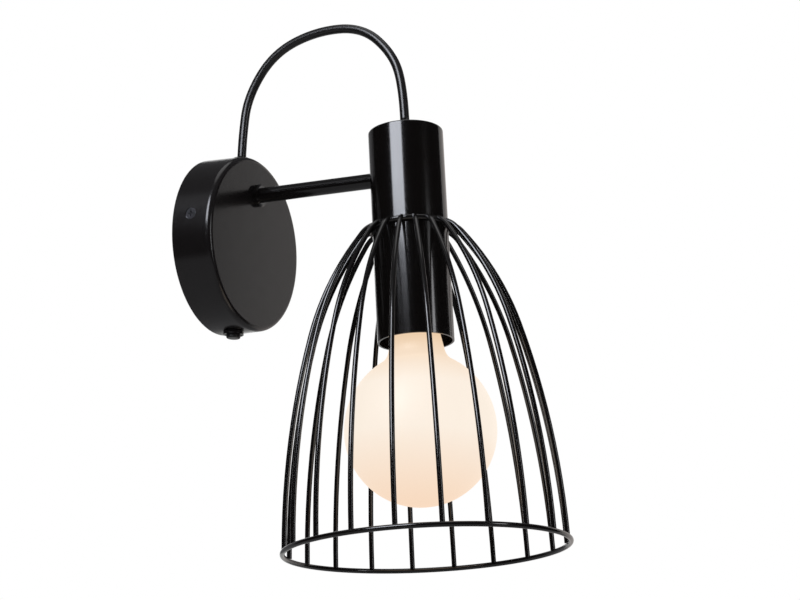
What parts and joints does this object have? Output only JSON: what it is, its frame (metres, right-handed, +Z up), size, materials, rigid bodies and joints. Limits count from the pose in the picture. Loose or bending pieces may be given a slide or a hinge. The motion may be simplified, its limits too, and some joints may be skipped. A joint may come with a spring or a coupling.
{
  "type": "wall light",
  "caption": "Wall light: round canopy with a push switch, straight arm, and a swivelling sleeve that holds a globe bulb inside a bell of wires, with a stiff cable arching over the arm.",
  "frame": {"origin": "centre of the canopy's back, on the wall, in the light's middle plane", "axes": "+Z up, +Y into the wall, out of the mounting face; the light stands out along -Y and X runs across"},
  "size_m": [0.1792, 0.2459, 0.3605],
  "materials": {
    "powder_black": "semi-gloss black powder coat on steel",
    "zinc_steel": "zinc-plated steel",
    "brass": "plain brass",
    "cable_black": "smooth black PVC sheath",
    "plastic_black": "black moulded plastic",
    "plastic_pale": "off-white nylon",
    "opal_glass": "opal white glass, lit warm",
    "bulb_metal": "bare nickel-coloured sheet",
    "dark_glass": "black moulded glass",
    "ceramic": "off-white glazed ceramic"
  },
  "bodies": {
    "base": {"canopy_shell": "powder_black", "wall_bracket": "zinc_steel", "canopy_screws": "powder_black", "earth_screw": "zinc_steel", "terminal_block": "plastic_pale", "terminal_screws": "brass", "terminal_fix_screw": "zinc_steel", "cord_bush": "plastic_black", "canopy_cord_tail": "cable_black", "cord": "cable_black", "arm_tube": "powder_black", "arm_collar": "powder_black", "arm_washer": "zinc_steel", "arm_nut": "zinc_steel", "arm_stud": "zinc_steel", "stud_spring_washer": "zinc_steel", "stud_nut": "zinc_steel", "switch_body": "plastic_black", "switch_nut": "powder_black", "switch_spring": "zinc_steel", "switch_leads": "cable_black"},
    "head": {"seat_ring": "powder_black", "saddle_washer": "zinc_steel", "sleeve": "powder_black", "head_nipple": "zinc_steel", "nipple_nut": "zinc_steel", "cord_grip": "plastic_black", "head_cord_tail": "cable_black", "holder_dome": "plastic_black", "holder_base": "ceramic", "holder_skirt": "plastic_black", "thread_shell": "brass", "centre_contact": "brass", "bulb_globe": "opal_glass", "bulb_cap": "bulb_metal", "bulb_insulator": "dark_glass", "bulb_contact": "brass", "cage_top_ring": "powder_black", "cage_wires": "powder_black", "cage_bottom_ring": "powder_black"},
    "button": {"switch_button": "plastic_black"}
  },
  "joints": [
    {"name": "head_swivel", "type": "hinge", "parent": "base", "child": "head", "pos_m": [0, -0.139, 0.033], "axis": [0, 1, 0], "range_deg": [-60, 60], "deforming": ["cord"]},
    {"name": "switch_press", "type": "slide", "parent": "base", "child": "button", "axis": [0, 0, 1], "range_m": [0, 0.002], "stiffness_N_per_m": 400, "springref_m": -0.002, "deforming": ["switch_spring"]}
  ]
}
